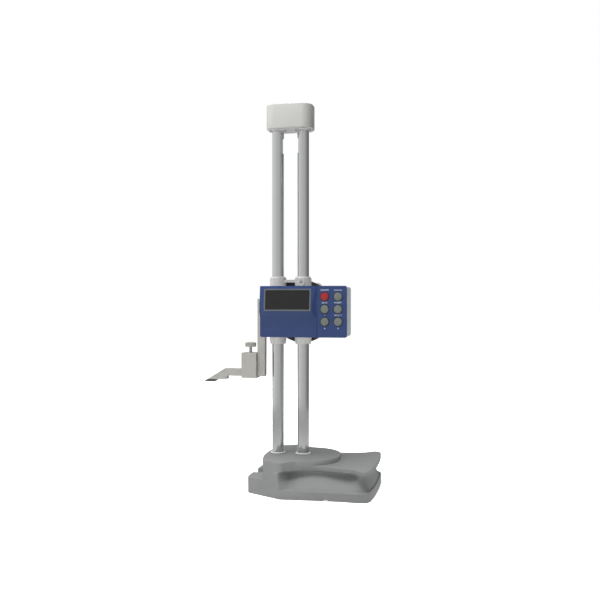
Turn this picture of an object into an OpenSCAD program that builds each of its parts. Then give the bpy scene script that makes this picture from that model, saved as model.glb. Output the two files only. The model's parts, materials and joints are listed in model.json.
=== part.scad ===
// Twin-column digital height gauge, at real size in millimetres.
// Origin: midway between the columns on the base's underside.
// +Z is up, +X points to the base's tail, and the scriber points to -X.
// The slider is drawn at the height where the gauge rests.

/* [Columns] */
// Diameter of each ground column
column_d = 14.5; // [13:0.1:16]
// Distance between the two column axes
column_spacing = 31.4; // [30.4:0.1:34]
// Length of column seen between the base and the cap
column_free = 395.4; // [370:0.1:440]
// Depth that each column is sunk into the base
column_in_base = 29.3; // [22:0.1:31]
// Depth that each column is sunk into the cap
column_in_cap = 22; // [14:0.5:25]
// Length of the milled relief under the cap, where the rack ends
relief_length = 18.6; // [10:0.1:30]
// Height of the lowest rack tooth above the base
rack_start = 5; // [4:0.5:20]

/* [Base] */
// Height of the raised platform that carries the columns
base_h = 41.3; // [38:0.1:50]
// Height of the tail's top face
tail_h = 35.7; // [32:0.1:37]
// Thickness of the bottom flange
flange_t = 11; // [8:0.5:13]
// Thickness of the lip round the tail's top
tail_lip_t = 5.2; // [4:0.1:7]
// Half width of the bottom flange
base_half_w = 67.3; // [60:0.1:75]
// Length of the base from the column midpoint to the tail's end
tail_reach = 107.3; // [100:0.1:125]
// Length of the base from the column midpoint to the block's end
block_reach = 29.5; // [28:0.1:29.9]
// Length of the toes in front of the block
toe_length = 15; // [11:0.5:20]
// Height of the toes
toe_h = 18.6; // [14:0.1:23]
// Half width of the base across the toes' ends
toe_half_w = 39.4; // [34:0.1:46]
// Width of the slot between the toes, in which the arm comes down
toe_slot_w = 22.8; // [22:0.1:28]
// Half width of the platform behind its nose
platform_half_w = 48.4; // [46:0.1:49]
// Reach of the platform's round end from the column midpoint
platform_reach = 61.1; // [58:0.1:70]
// Half width of the wall between the flange and the tail's lip
web_half_w = 42.5; // [40:0.1:44]
// Width of the relief groove across the underside
groove_w = 5.5; // [3:0.5:8]
// Depth of the relief groove
groove_depth = 1.5; // [1:0.1:3]
// Place of the relief groove from the column midpoint
groove_x = 54.5; // [40:0.5:70]

/* [Cap] */
// Length of the cap, along the line of the columns
cap_l = 57; // [54:0.5:64]
// Depth of the cap from front to back
cap_w = 37.3; // [30:0.1:44]
// Height of the cap
cap_h = 29.5; // [27:0.1:36]
// Radius of the cap's corners seen from above
cap_corner = 13; // [8:0.5:14]
// Radius of the rounding along the cap's edges
cap_edge = 1; // [0.8:0.1:3]

/* [Collars] */
// Outer diameter of the collars at the base
collar_d = 19; // [18:0.1:22]
// Thickness of each collar
collar_t = 1.6; // [1.2:0.1:2.5]
// Outer diameter of the collars under the cap
cap_collar_d = 17.2; // [16.6:0.1:18]
// Diameter of the dark recess round each cap collar
cap_recess_d = 19.4; // [19:0.1:21]
// Depth of that recess
cap_recess_depth = 2.5; // [2:0.1:4]

/* [Slider] */
// Height of the slider's sleeves above the platform, where it rests
rest_height = 134.1; // [130:0.1:170]
// Length of the two sleeves
sleeve_h = 80.2; // [79:0.1:90]
// Wall of the sleeves round the guide bushings
sleeve_wall = 1.4; // [1:0.1:1.8]
// Wall of the guide bushings
bushing_wall = 1.45; // [1:0.05:1.6]
// Length of each guide bushing
bushing_l = 13; // [8:0.5:15]
// Thickness of the wiper rings
wiper_t = 1.7; // [1.2:0.1:2.2]
// Distance from the column plane back to the slider's rear face
slider_rear = 14; // [13:0.5:18]
// Height of the bridge rib above the sleeves' lower ends
bridge_z = 74.9; // [74:0.1:76]
// Thickness of the bridge rib
bridge_t = 3.3; // [2:0.1:4]
// Diameter of the screw boss on the right sleeve
boss_d = 8.6; // [7:0.1:9]

/* [Feed] */
// Module of the racks and pinions
gear_module = 0.7; // [0.6:0.05:0.8]
// Teeth on the feed pinion
feed_teeth = 15; // [13:1:16]
// Width of the pinions
pinion_w = 7; // [5:0.5:8]
// Diameter of the feed shaft
shaft_d = 5; // [4:0.1:5.4]
// Height of the feed shaft above the sleeves' lower ends
feed_z = 38.9; // [36:0.1:41]
// Thickness of the feed housing's flange
housing_flange_t = 4; // [3:0.5:6]
// Length of the feed housing's turret
turret_l = 27.5; // [20:0.5:30]
// Diameter of the turret
turret_d = 26; // [20:0.5:30]

/* [Handwheel] */
// Diameter of the handwheel
wheel_d = 80.2; // [60:0.1:81]
// Width of the handwheel's rim
wheel_w = 14; // [10:0.5:16]
// Diameter of the handwheel's hub
hub_d = 20; // [14:0.5:24]
// Distance from the handwheel's edge in to the crank knob's axis
crank_inset = 5.5; // [5.5:0.1:12]
// Direction of the crank knob at rest, from level
crank_angle = 66; // [0:1:90]
// Diameter of the crank knob
knob_d = 12; // [10:0.5:12]
// Length of the crank knob
knob_l = 24; // [16:0.5:24]
// Diameter of the pin that the crank knob turns on
crank_pin_d = 4; // [3:0.1:4.5]

/* [Encoder] */
// Teeth on the encoder pinion
encoder_teeth = 18; // [16:1:19]
// Gap between the slotted disc and the top of the case
disc_gap = 1.6; // [1.2:0.1:3]
// Slots in the disc
disc_slots = 36; // [24:1:40]
// Diameter of the encoder's shaft
encoder_shaft_d = 3; // [2.4:0.1:3.4]

/* [Display unit] */
// Width of the display unit
display_w = 103.5; // [102:0.1:116]
// Height of the display unit
display_h = 60.3; // [60:0.1:66]
// Distance from the column plane forward to the button panel
display_front = 43.5; // [42:0.1:52]
// Distance from the column plane to the display unit's left end
display_left = 27.5; // [27:0.1:28]
// Height of the display unit above the sleeves' lower ends
display_z = 9.7; // [8.5:0.1:10]
// Thickness of the front cover
cover_t = 2.2; // [1.8:0.1:2.6]
// Wall of the case back
case_wall = 2.2; // [1.8:0.1:2.6]
// Corner radius of the display unit
case_corner = 2.5; // [1.5:0.1:3]
// How far the screen's wedge stands out at its fold
wedge_proud = 4.1; // [2:0.1:5]
// Distance from the top edge down to the wedge's fold
wedge_fold = 29.9; // [29.5:0.1:31]
// Height of the chamfer under the wedge's fold
wedge_chamfer = 7.8; // [5:0.1:10]
// Width of the button panel to the right of the wedge
panel_w = 36.4; // [35:0.1:38]
// Width of the bevel at the wedge's right end
wedge_bevel = 4.7; // [3:0.1:6]

/* [Screen] */
// Margin from the bezel to the end of the wedge's flat part
bezel_right = 0.9; // [0.5:0.1:3]
// Height of the opening for the display bezel, along the wedge
bezel_h = 26.2; // [22:0.1:26.4]
// Margin from the display unit's left end to the bezel
bezel_left = 5.3; // [4.5:0.1:5.6]
// Margin from the top edge to the bezel, along the wedge
bezel_top = 3.4; // [3:0.1:3.6]
// Width of the bezel's frame
bezel_frame = 1.6; // [1:0.1:2.4]
// Thickness of the clear window
window_t = 1.2; // [1:0.1:1.5]

/* [Buttons] */
// Diameter of each button
button_d = 9.5; // [8:0.1:10]
// Distance between the two columns of buttons
button_pitch_x = 15.7; // [14.5:0.1:17]
// Distance between the rows of buttons
button_pitch_z = 14.65; // [13.6:0.05:15]
// Distance from the right end to the last column of buttons
button_right = 10.3; // [9.5:0.1:12]
// Distance from the top edge to the first row of buttons
button_top = 12.6; // [11:0.1:14]
// How far the buttons stand out of the panel
button_proud = 1.6; // [1.4:0.1:2.5]
// How far a button can be pressed
button_travel = 1.2; // [0.8:0.1:1.2]

/* [Arm] */
// Side of the square measuring arm and of the scriber's bar
bar_side = 9.3; // [8:0.1:10]
// Length of the arm's upright part
arm_h = 86; // [80:0.5:95]
// Distance from the column plane's centre to the arm's right face
arm_right = 31.5; // [31.2:0.1:32]
// Depth of the arm's lower end below the sleeves' lower ends
arm_drop = 31.1; // [30:0.1:34]

/* [Scriber] */
// Length of the scriber from its tip to its square end
scriber_l = 77.3; // [72:0.1:90]
// Length of the slope from the tip to the bar's top
nose_l = 26; // [20:0.1:30]
// Length of the lowered part behind the tip
step_l = 28.9; // [26:0.1:34]
// Depth of the lowered part under the bar
step_drop = 4.5; // [3:0.1:5]
// Length of the carbide tip
carbide_l = 14.5; // [10:0.1:18]
// Depth of the carbide under the scriber's nose
carbide_drop = 2.9; // [2:0.1:4]

/* [Clamp] */
// Length of the clamp box along the scriber
clamp_l = 18.8; // [14:0.1:20]
// Width of the clamp box across the scriber
clamp_w = 18.6; // [16:0.1:19]
// Height of the clamp box
clamp_h = 31; // [28:0.1:36]
// Wall of the clamp box under the scriber
clamp_floor = 1.9; // [1.6:0.1:2.2]
// Diameter of the thumb screw's stem
stem_d = 3.6; // [3:0.1:5]
// Length of stem seen above the clamp box
stem_seen = 7.1; // [4:0.1:10]
// Diameter of the thumb screw's head
thumb_d = 13.5; // [10:0.1:16]
// Height of the thumb screw's head without its dome
thumb_h = 5.2; // [4:0.1:8]

/* [Slider lock] */
// Height of the lock knob above the sleeves' lower ends
lock_z = 30; // [26:0.5:36]
// Diameter of the lock knob
lock_knob_d = 16; // [12:0.5:17]
// Length of the lock knob
lock_knob_l = 11; // [8:0.5:14]
// Diameter of the lock screw
lock_screw_d = 5; // [4:0.1:6]

/* [Fits] */
// Gap between a column and the bushings that run on it, on the radius
running_gap = 0.04; // [0.02:0.01:0.08]
// Gap between a shaft or screw and the hole it turns in, on the radius
turning_gap = 0.05; // [0.03:0.01:0.08]
// Gap between the scriber and what guides it
sliding_gap = 0.1; // [0.05:0.01:0.15]
// Gap round each button in the front cover
button_gap = 0.35; // [0.25:0.05:0.4]
// Backlash between a rack and its pinion, along the pitch line
backlash = 0.24; // [0.2:0.02:0.3]
// Gap round a pinion or disc in its pocket
pocket_gap = 0.8; // [0.6:0.1:1]

/* [Hidden] */
$fn = 48;

steel = "#b4b6b8";
iron = "#87898a";
cap_paint = "#c8c8c4";
slider_paint = "#bab6b0";
bar_steel = "#a9a7a3";
cover_blue = "#3e5080";
case_grey = "#9ba2a6";
black_plastic = "#1b1c1e";
brass = "#b08d4a";
key_grey = "#84847f";

eps = 0.01;
left = -1;
right = 1;
column_x = column_spacing / 2;
column_r = column_d / 2;
column_bottom = base_h - column_in_base;
cap_z = base_h + column_free;
column_end = cap_z + column_in_cap;

// Column screws go up through the base into the columns' lower ends.
screw_d = 6;
screw_grip = 14;
counterbore_depth = column_bottom - 4;

// Base outline
block_nose = 2;
block_side = block_reach - 7.7;
side_slope = (base_half_w - toe_half_w) / (block_nose + block_reach + toe_length);
toe_tip = -block_reach - toe_length;
smooth = 7;
end_steps = smooth + 2;
block_end_r = (pow(side_at(-block_side), 2) + pow(block_reach - block_side, 2))
  / (2 * (block_reach - block_side));
cap_screw_d = 5;

// Slider, measured up from its sleeves' lower ends
slider_z = base_h + rest_height;
bore_d = column_d + 2 * (running_gap + bushing_wall);
sleeve_d = bore_d + 2 * sleeve_wall;
taper_h = 6;
pad_front = sleeve_d / 2 + 1.2;
pad_half_w = column_x + 8.3;
core_z = display_z + 2;
core_top = display_z + display_h - 2;
boss_x = column_x;
boss_z = bridge_z + 0.4;
adjuster_d = 4;

// Racks and pinions. Each rack's tooth tips lie in the column's own surface.
pressure = 20;
tooth_pitch = PI * gear_module;
addendum = gear_module;
dedendum = 1.25 * gear_module;
rack_tip = 0.6;
rack_depth = rack_tip + dedendum;
rack_side = column_x - column_r;
rack_pitch_x = rack_side + rack_tip;
rack_bottom = base_h + rack_start;
relief_depth = rack_depth + 0.9;
relief_bottom = cap_z - 9.7 - relief_length;
rack_top = relief_bottom + tooth_pitch / 2;
feed_r = gear_module * feed_teeth / 2;
feed_x = rack_pitch_x - feed_r;
feed_axis_z = slider_z + feed_z;
encoder_r = gear_module * encoder_teeth / 2;
encoder_x = encoder_r - rack_pitch_x;
encoder_z = feed_z + feed_r + encoder_r + 2 * addendum + 1.2;
encoder_axis_z = slider_z + encoder_z;
pinion_clear = addendum + pocket_gap;

// Feed shaft, housing and handwheel, measured back from the column plane
bush_wall = 1.6;
bush_r = shaft_d / 2 + turning_gap + bush_wall;
front_bush_y = -pad_front + 1;
pocket_front = -pinion_w / 2 - 1;
turret_start = slider_rear + housing_flange_t;
turret_end = turret_start + turret_l;
rear_bush_l = 8;
wheel_y = turret_end + 4;
wheel_end = wheel_y + wheel_w;
wheel_rim = 9;
shaft_end = wheel_end;
crank_r = wheel_d / 2 - crank_inset;
crank_x = crank_r * cos(crank_angle);
crank_z = crank_r * sin(crank_angle);
web_front = 3.5;
web_back = 8;
crank_head_h = 1.6;
housing_half_w = column_x - 1.2;
housing_low = feed_z - 18;
housing_high = bridge_z + 1.2;
housing_screw_d = 3;
housing_grip = 4;
housing_screw_places = [for (x = [3.4 - housing_half_w, housing_half_w - 3.4],
  z = [housing_low + 4, encoder_z + encoder_r - 0.4]) [x, z]];
knob_start = wheel_end + 0.8;
knob_end = knob_start + knob_l;

// Slider lock on the right sleeve
lock_y = 3;
lock_boss_d = 11;
lock_boss_end = column_x + sleeve_d / 2 + 4.5;
shoe_start = column_x + column_r + running_gap + 0.15;
shoe_l = 3;

// Display unit
display_x = -display_left;
display_right = display_x + display_w;
display_top = display_z + display_h;
case_front = display_front - cover_t;
case_rear = pad_front;
// The deeper right end of the case starts beyond the lock knob
bulge_x = lock_boss_end + lock_knob_l + 4.5;
bulge_rear = case_rear - 6.5;
bulge_inset = 0.8;
wedge_tilt = atan(wedge_proud / wedge_fold);
panel_edge = display_right - panel_w;
wedge_end = panel_edge - wedge_bevel;
bezel_w = wedge_end - display_x - bezel_left - bezel_right;
board_y = 34.9;
board_t = 1.6;
mat_t = 1;
// Place, size and height of the parts on the circuit board's back
chips = [[display_x + 0.2 * display_w, display_z + 0.2 * display_h, 12, 1.8],
  [display_x + 0.58 * display_w, display_z + 0.66 * display_h, 9, 1.6],
  [display_x + 0.42 * display_w, display_z + 0.22 * display_h, 6, 2.4]];
mat_front = case_front - button_travel - 1.7;
button_x = [display_right - button_right - button_pitch_x, display_right - button_right];
button_z = [for (row = [0:2]) display_top - button_top - row * button_pitch_z];
flange_r = button_d / 2 + 0.9;
screw_inset = 4.9;
cover_boss_r = screw_inset - case_wall - 0.35;
case_boss_r = 3.6;
boss_h = 3;
case_screw_seat = case_rear + 4;
case_screw_d = 2.4;
display_screw_d = 3;
pad_grip = 2.4;
case_screw_places = [for (x = [display_x + screw_inset, display_right - screw_inset],
  z = [display_z + screw_inset, display_top - screw_inset]) [x, z]];
display_screw_x = column_x - 5.7;
display_screw_places = [for (x = [-display_screw_x, display_screw_x],
  z = [core_z + 10, core_top - 9]) [x, z]];
battery_r = 10;
battery_x = (bulge_x + display_right) / 2 - 1;
battery_z = display_z + 19;
battery_t = 3.2;
lid_r = battery_r + 1.6;
lid_t = 2;
battery_rear = bulge_rear + lid_t + 1.4;
contact_y = battery_rear + battery_t + 3.6;
disc_y = board_y - 13;
disc_d = 2 * (display_top - case_wall - disc_gap - encoder_z);

// Arm, clamp and scriber, measured from the sleeves' lower ends
arm_left = arm_right + bar_side;
arm_bottom = -arm_drop;
scriber_top = arm_bottom - sliding_gap;
scriber_bottom = scriber_top - bar_side + 0.2;
clamp_left = arm_left + clamp_l + 0.4;
clamp_bottom = scriber_bottom - sliding_gap - clamp_floor;
clamp_top = clamp_bottom + clamp_h;
foot_left = clamp_left - 0.6;
foot_top = arm_bottom + bar_side;
clamp_x = clamp_left - clamp_l / 2;
edge_z = scriber_bottom - step_drop - carbide_drop;
tip_x = -arm_right - scriber_l;
tip_land = 0.5;
carbide_top = edge_z + carbide_drop;
carbide_nose = (carbide_drop - tip_land) * nose_l / (scriber_top - edge_z - tip_land);
lug_z = 21;
lug_h = 34;
lug_half_w = 7;
arm_screw_d = 4;
arm_screw_grip = 5;
arm_counterbore = head_h(arm_screw_d) + 0.2;
arm_screw_z = [lug_z + 9, lug_z + lug_h - 9];

// General helpers

function unit(v) = v / norm(v);
function ends(n) = [0:n - 1];
function head_r(d) = 0.88 * d;
function head_h(d) = 0.7 * d;
function mirrored(corners) =
  [for (i = [len(corners) - 1:-1:0]) [corners[i][0], -corners[i][1], corners[i][2]]];

// Rounds the corner p of a loop, starting and ending the curve at distance t along its two sides
function blend(a, p, b, t, n) =
  let (ta = min(t, 0.49 * norm(a - p)), tb = min(t, 0.49 * norm(b - p)),
    s = p + ta * unit(a - p), e = p + tb * unit(b - p))
  [for (i = [0:n]) let (u = i / n) (1 - u) * (1 - u) * s + 2 * u * (1 - u) * p + u * u * e];

// A loop of corners given as [x, y, t], each rounded unless its t is zero
function rounded_loop(corners, n = smooth) =
  let (m = len(corners), at = function (i) let (c = corners[(i + m) % m]) [c[0], c[1]])
  [for (i = ends(m)) each corners[i][2] == 0 ? [at(i)]
    : blend(at(i - 1), at(i), at(i + 1), corners[i][2], n)];

function mixed(a, b, u) = [for (i = ends(len(a))) a[i] * (1 - u) + b[i] * u];

// A closed skin over loops of equal length, each at its own height. Two loops may share a
// height, and where points of a loop lie on the one below they are used once.
module skin(loops, heights) {
  n = len(loops[0]);
  m = len(loops);
  points = [for (j = ends(m)) for (p = loops[j]) [p[0], p[1], heights[j]]];
  function at(j, i) =
    j > 0 && norm(points[j * n + i] - points[(j - 1) * n + i]) < 1e-6 ? at(j - 1, i) : j * n + i;
  sides = [for (j = [0:m - 2]) for (i = ends(n))
    let (k = (i + 1) % n, a = at(j, i), b = at(j, k), c = at(j + 1, i), d = at(j + 1, k))
    each [[a, c, d], [a, d, b]]];
  kept = [for (f = sides) if (f[0] != f[1] && f[1] != f[2] && f[0] != f[2]) f];
  lower = [for (i = ends(n)) at(0, i)];
  upper = [for (i = [n - 1:-1:0]) at(m - 1, i)];
  polyhedron(points, concat([lower], [upper], kept));
}

// A rectangle with rounded corners, from one corner to the opposite one
module soft_rect(x0, y0, x1, y1, r) {
  union() {
    translate([x0 + r, y0]) square([x1 - x0 - 2 * r, y1 - y0]);
    translate([x0, y0 + r]) square([x1 - x0, y1 - y0 - 2 * r]);
    for (x = [x0 + r, x1 - r], y = [y0 + r, y1 - r]) translate([x, y]) circle(r);
  }
}

// Draws children in the X and Z plane, standing forward from depth y0 to depth y1
module plate(y0, y1) {
  translate([0, -min(y0, y1), 0]) rotate([90, 0, 0]) linear_extrude(abs(y1 - y0)) children();
}

// A cylinder along Y between two places that are measured back from the column plane
module rod_y(x, z, r, y0, y1) {
  translate([x, y1, z]) rotate([90, 0, 0]) cylinder(r = r, h = y1 - y0);
}

module rod_x(x0, x1, y, z, r) {
  translate([x0, y, z]) rotate([0, 90, 0]) cylinder(r = r, h = x1 - x0);
}

module on_columns() {
  for (side = [left, right]) translate([side * column_x, 0, 0]) children();
}

module at_slider() {
  translate([0, 0, slider_z]) children();
}

// Racks and pinions

function involute(a) = tan(a) * 180 / PI - a;
function polar(r, a) = [r * cos(a), r * sin(a)];

// Half of a tooth's angle at radius r, for a pinion of the given pitch radius
function half_tooth(r, pitch_r, teeth) =
  let (base_r = pitch_r * cos(pressure), at = max(r, base_r))
  90 / teeth - backlash / 4 / pitch_r * 180 / PI + involute(pressure) - involute(acos(base_r / at));

// A pinion's outline, with one tooth pointing along +X
module pinion_outline(teeth) {
  pitch_r = gear_module * teeth / 2;
  root = pitch_r - dedendum;
  steps = 4;
  radii = [for (i = [0:steps]) root + (addendum + dedendum) * i / steps];
  polygon([for (k = ends(teeth)) each concat(
    [for (i = [0:steps]) polar(radii[i], 360 * k / teeth - half_tooth(radii[i], pitch_r, teeth))],
    [for (i = [steps:-1:0]) polar(radii[i], 360 * k / teeth + half_tooth(radii[i], pitch_r, teeth))])]);
}

// The comb that cuts a rack, in X and Z, for the right column; one gap lies at height mesh_z
module rack_comb(mesh_z) {
  first = mesh_z - floor((mesh_z - rack_bottom) / tooth_pitch) * tooth_pitch;
  count = floor((rack_top - first) / tooth_pitch) + 1;
  outside = 0.3;
  gap_half = tooth_pitch / 4 + backlash / 4;
  mouth = gap_half + (rack_tip + outside) * tan(pressure);
  floor_half = gap_half - dedendum * tan(pressure);
  x_out = rack_side - outside;
  x_root = rack_side + rack_depth;
  polygon(concat(
    [[x_out - 1, first - tooth_pitch]],
    [for (i = ends(count)) let (z = first + i * tooth_pitch)
      each [[x_out, z - mouth], [x_root, z - floor_half], [x_root, z + floor_half], [x_out, z + mouth]]],
    [[x_out - 1, first + count * tooth_pitch]]));
}

module column(side, mesh_z) {
  color(steel)
    difference() {
      translate([side * column_x, 0, column_bottom])
        cylinder(r = column_r, h = column_end - column_bottom, $fn = 64);
      translate([side * column_x, 0, column_bottom - eps]) cylinder(d = screw_d, h = screw_grip + eps);
      mirror([side == left ? 1 : 0, 0, 0]) {
        rotate([90, 0, 0]) translate([0, 0, -column_r]) linear_extrude(column_d) rack_comb(mesh_z);
        translate([rack_side - 1, -column_r, relief_bottom])
          cube([1 + relief_depth, column_d, relief_length]);
      }
    }
}

module left_column() {
  column(left, encoder_axis_z);
}

module right_column() {
  column(right, feed_axis_z);
}

// Base casting. Its outlines are given for the front half and mirrored to the back.

// Half width of the base along the straight side that runs from the toes to the nose
function side_at(x) = toe_half_w + (x + block_reach + toe_length) * side_slope;
function end_x(y) = -block_reach + block_end_r - sqrt(block_end_r * block_end_r - y * y);

// The toes' end and the block's curved end, for the front half, with equally many points
toe_front = [[toe_tip, -toe_half_w, 6], [-block_side, -side_at(-block_side), 0]];
block_front = [for (i = [1:end_steps]) let (y = side_at(-block_side) * i / end_steps) [end_x(y), -y, 0]];

// The nose at the flange, where the pocket cuts into it, and along the lip and the platform
nose = [block_nose, -base_half_w, 3];
pocket_nose = [block_nose - 3.6, -side_at(block_nose - 3.6), 1.5];
top_nose = [block_nose - 2.5, 1.3 - side_at(block_nose - 2.5), 7];

// Where the nose runs back into the platform and into the lip of the tail
nose_back = [block_nose + 12, -platform_half_w - 2, 9];
lip_start = 40;

function tail_corners(kind) =
  kind == "flange" ? [nose, [17, 0.7 - base_half_w, 5], [45, 2.2 - base_half_w, 10],
    [72, 3 - base_half_w, 14], [92, 0.8 - base_half_w, 10], [tail_reach - 2.8, 2.8 - base_half_w, 12],
    [tail_reach, -28, 25]]
  : kind == "web" ? [pocket_nose, [8, -web_half_w - 1, 6], [45, -web_half_w, 10], [82, -web_half_w - 1, 8],
    [92.5, -web_half_w - 12, 4], [tail_reach - 9.8, -web_half_w, 8], [tail_reach - 6.8, -15, 12]]
  : [top_nose, nose_back, [lip_start, -web_half_w - 2.5, 12], [84, -web_half_w - 10.8, 12],
    [96.5, 1 - base_half_w, 7], [tail_reach - 2.8, 4.8 - base_half_w, 9], [tail_reach, -25, 25]];

// A loop round the whole base, with the toes or over them, pulled in by inset beyond x_from
function base_loop(corners, inset, x_from, toes) =
  let (half = concat(toes ? toe_front : block_front, [for (c = corners)
    [c[0] - (c[0] > tail_reach - 4 ? inset : 0), c[1] + (c[0] > x_from ? inset : 0), c[2]]]))
  rounded_loop(concat(mirrored(half), [[toes ? toe_tip : -block_reach, 0, 0]], half));

// The raised platform: the block's outline in front, and behind it a full, squarish round end
function platform_loop(inset) =
  let (fullness = 2.4, w = platform_half_w - inset, l = platform_reach - block_nose - 10 - inset,
    group = smooth + 1, angles = [[0, 82], [1, 50], [2, 26], [3, 17], [4, 9], [5, 0]],
    half = concat(block_front, [for (c = [top_nose, nose_back]) [c[0], c[1] + inset, c[2]]],
      [for (i = ends(5 * group)) let (a = lookup(i / group, angles))
        [block_nose + 10 + l * pow(cos(a), 2 / fullness), -w * pow(sin(a), 2 / fullness), 0]]))
  rounded_loop(concat(mirrored(half), [[-block_reach, 0, 0]], half));

// The whole casting in one skin: flange, hollow sides, tail's lip and platform
module base_body() {
  flange = tail_corners("flange");
  web = tail_corners("web");
  lip = tail_corners("lip");
  lip_z = tail_h - tail_lip_t;
  cove_h = 16;
  cove_start = 0.33;
  cove_bend = 1.3;
  flare_h = 2.5;
  toe_u = (toe_h - flange_t) / cove_h;
  function cove(u, toes) =
    let (inward = 1 - (1 - cove_start) * pow(1 - min(u, 1), cove_bend))
    [base_loop(mixed(flange, web, inward), 0, block_nose, toes), flange_t + u * cove_h];
  levels = concat(
    [for (s = [[0.4, 0], [0, 0.4], [0, flange_t - 1.5], [0.45, flange_t - 0.45], [1.5, flange_t]])
      [base_loop(flange, s[0], block_nose, true), s[1]]],
    [for (u = [0, 0.5, 1]) cove(u * toe_u, true)],
    [for (u = [0, 0.5, 1]) cove(toe_u + u * (1 - toe_u), false)],
    [for (u = [0.35, 0.75, 1])
      [base_loop(mixed(web, lip, 1 - sqrt(1 - u * u)), 0, block_nose, false), lip_z - flare_h * (1 - u)]],
    [for (s = [[0, tail_h - 1.5], [0.45, tail_h - 0.45], [1.5, tail_h]])
      [base_loop(lip, s[0], lip_start, false), s[1]]],
    [for (s = [[0, tail_h], [0, base_h - 1.3], [0.4, base_h - 0.4], [1.3, base_h]])
      [platform_loop(s[0]), s[1]]]);
  skin([for (l = levels) l[0]], [for (l = levels) l[1]]);
}

module base_casting() {
  color(iron)
    difference() {
      base_body();
      translate([toe_tip - 1, -toe_slot_w / 2, -1]) cube([toe_length + 1.6, toe_slot_w, toe_h + 2]);
      on_columns() {
        translate([0, 0, column_bottom]) cylinder(r = column_r, h = base_h, $fn = 64);
        translate([0, 0, -1]) cylinder(d = screw_d + 2 * turning_gap, h = base_h);
        translate([0, 0, -1]) cylinder(r = head_r(screw_d) + 0.5, h = counterbore_depth + 1);
      }
      translate([groove_x - groove_w / 2, -base_half_w - 5, -1])
        cube([groove_w, 2 * base_half_w + 10, groove_depth + 1]);
    }
}

// A collar with rounded outer edges, standing on z = 0
module collar(outer_d) {
  r = outer_d / 2;
  rotate_extrude($fn = 64)
    polygon(concat([[column_r, 0]],
      [for (a = [-90:22.5:90]) [r - collar_t / 2 * (1 - cos(a)), collar_t / 2 * (1 + sin(a))]],
      [[column_r, collar_t]]));
}

module base_collars() {
  color(steel) on_columns() translate([0, 0, base_h]) collar(collar_d);
}

// A socket-head screw with its head's top at z = 0 and its shank going up
module cap_head_screw(d, grip) {
  difference() {
    union() {
      cylinder(r = head_r(d), h = head_h(d));
      cylinder(d = d, h = head_h(d) + grip);
    }
    translate([0, 0, -eps]) cylinder(r = d / 2, h = head_h(d) * 0.55, $fn = 6);
  }
}

module column_screws() {
  color(steel) on_columns() translate([0, 0, counterbore_depth - head_h(screw_d)])
    cap_head_screw(screw_d, column_bottom - counterbore_depth + screw_grip - 1);
}

// Cap

function cap_loop(inset) =
  let (r = cap_corner - inset, x = cap_l / 2 - cap_corner, y = cap_w / 2 - cap_corner)
  [for (q = [[x, y, 0], [-x, y, 90], [-x, -y, 180], [x, -y, 270]]) for (i = [0:8])
    [q[0] + r * cos(q[2] + i * 11.25), q[1] + r * sin(q[2] + i * 11.25)]];

module top_cap() {
  under = 0.8;
  rings = [for (a = [0, 30, 60, 90]) [cap_edge * (1 - cos(a)), cap_h - cap_edge + cap_edge * sin(a)]];
  color(cap_paint)
    difference() {
      translate([0, 0, cap_z])
        skin(concat([cap_loop(under), cap_loop(0)], [for (s = rings) cap_loop(s[0])]),
          concat([0, under], [for (s = rings) s[1]]));
      on_columns() translate([0, 0, cap_z - 1]) {
        cylinder(r = column_r, h = column_in_cap + 1, $fn = 64);
        cylinder(d = cap_recess_d, h = cap_recess_depth + 1, $fn = 64);
      }
      for (side = [left, right]) rod_y(side * column_x, cap_z + cap_h / 2, cap_screw_d / 2, 0, cap_w);
    }
}

module cap_collars() {
  color(steel) on_columns() translate([0, 0, cap_z + cap_recess_depth - collar_t - 1.4]) {
    collar(cap_collar_d);
    translate([0, 0, collar_t / 2]) rotate_extrude($fn = 64) translate([column_r, 0])
      square([cap_collar_d / 2 - column_r - 0.6, 1.4 + collar_t / 2]);
  }
}

// Grub screws that hold the columns in the cap, from behind
module cap_screws() {
  color(steel)
    for (side = [left, right]) difference() {
      rod_y(side * column_x, cap_z + cap_h / 2, cap_screw_d / 2, column_r, cap_w / 2 - 1);
      translate([side * column_x, cap_w / 2 - 3.5, cap_z + cap_h / 2]) rotate([-90, 0, 0])
        cylinder(r = cap_screw_d / 4, h = 4, $fn = 6);
    }
}

// Slider

module sleeve() {
  cylinder(d1 = sleeve_d - 1.7, d2 = sleeve_d, h = taper_h, $fn = 64);
  translate([0, 0, taper_h]) cylinder(d = sleeve_d, h = sleeve_h - taper_h, $fn = 64);
}

// The block between the sleeves, seen from above
function core_side() = [[column_x + 2, -pad_front + 2], [column_x + 1.5, sleeve_d / 2 - 1],
  [column_x + 0.8, slider_rear - 2], [column_x - 1.2, slider_rear]];
function core_points() = concat(core_side(), [for (i = [3:-1:0]) [-core_side()[i][0], core_side()[i][1]]]);

module slider_solid() {
  on_columns() sleeve();
  translate([0, 0, core_z]) linear_extrude(core_top - core_z) polygon(core_points());
  plate(pad_front - 4, pad_front) soft_rect(-pad_half_w, core_z, pad_half_w, core_top, 3);
  translate([-column_x, -5.6, bridge_z]) cube([column_spacing, 4.4, bridge_t]);
  rod_y(boss_x, boss_z, boss_d / 2, -sleeve_d / 2 - 2.2, 0);
  translate([-arm_right, -lug_half_w, lug_z]) cube([arm_right - column_x, 2 * lug_half_w, lug_h]);
  rod_x(column_x, lock_boss_end, lock_y, lock_z, lock_boss_d / 2);
}

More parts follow.
